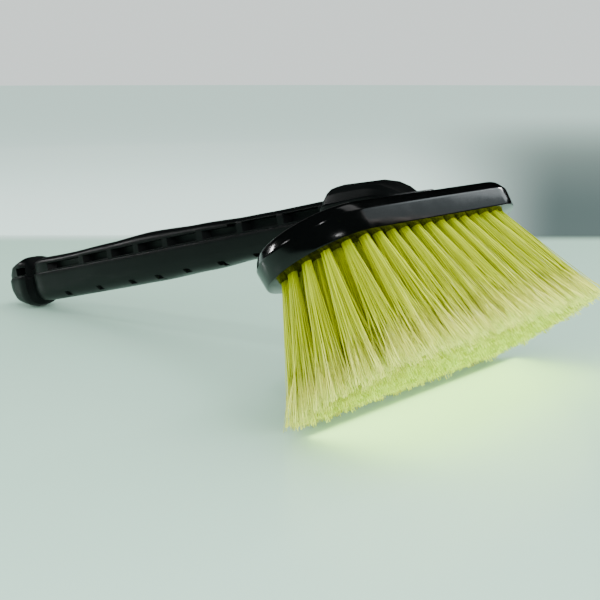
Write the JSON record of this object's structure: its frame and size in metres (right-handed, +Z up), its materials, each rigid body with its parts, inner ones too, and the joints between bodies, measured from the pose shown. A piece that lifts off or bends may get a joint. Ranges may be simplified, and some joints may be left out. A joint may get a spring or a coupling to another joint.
{
  "type": "wash brush",
  "caption": "Long-handled wash brush: a stadium-shaped moulded block of flared, flagged bristle tufts on a ribbed plastic grip, lying on its butt and rear tips.",
  "frame": {"origin": "centre of the footprint, at the surface the brush lies on", "axes": "+Z up, handle towards -X, long side of the block along Y"},
  "size_m": [0.4631, 0.2636, 0.1225],
  "materials": {
    "block": "glossy black injection-moulded polypropylene",
    "grip": "fine spark-textured charcoal-black polypropylene",
    "bristle": "chartreuse polyester filament, pale where the tips are flagged",
    "fastener": "zinc-plated steel"
  },
  "bodies": {
    "root": {"brush_block": "block", "handle": "grip", "handle_saddle": "grip", "saddle_screw_1": "fastener", "saddle_screw_2": "fastener", "saddle_screw_3": "fastener", "saddle_screw_4": "fastener", "handle_lock_screw": "fastener", "outer_tuft_01": "bristle", "outer_tuft_02": "bristle", "outer_tuft_03": "bristle", "outer_tuft_04": "bristle", "outer_tuft_05": "bristle", "outer_tuft_06": "bristle", "outer_tuft_07": "bristle", "outer_tuft_08": "bristle", "outer_tuft_09": "bristle", "outer_tuft_10": "bristle", "outer_tuft_11": "bristle", "outer_tuft_12": "bristle", "outer_tuft_13": "bristle", "outer_tuft_14": "bristle", "outer_tuft_15": "bristle", "outer_tuft_16": "bristle", "outer_tuft_17": "bristle", "outer_tuft_18": "bristle", "outer_tuft_19": "bristle", "outer_tuft_20": "bristle", "outer_tuft_21": "bristle", "outer_tuft_22": "bristle", "outer_tuft_23": "bristle", "outer_tuft_24": "bristle", "outer_tuft_25": "bristle", "outer_tuft_26": "bristle", "outer_tuft_27": "bristle", "outer_tuft_28": "bristle", "outer_tuft_29": "bristle", "outer_tuft_30": "bristle", "outer_tuft_31": "bristle", "outer_tuft_32": "bristle", "outer_tuft_33": "bristle", "outer_tuft_34": "bristle", "outer_tuft_35": "bristle", "outer_tuft_36": "bristle", "middle_tufts_1": "bristle", "middle_tufts_2": "bristle", "middle_tufts_3": "bristle", "middle_tufts_4": "bristle", "middle_tufts_5": "bristle", "middle_tufts_6": "bristle", "middle_tufts_7": "bristle", "middle_tufts_8": "bristle", "inner_tufts_1": "bristle", "inner_tufts_2": "bristle", "inner_tufts_3": "bristle", "inner_tufts_4": "bristle", "centre_tufts": "bristle"}
  },
  "joints": []
}
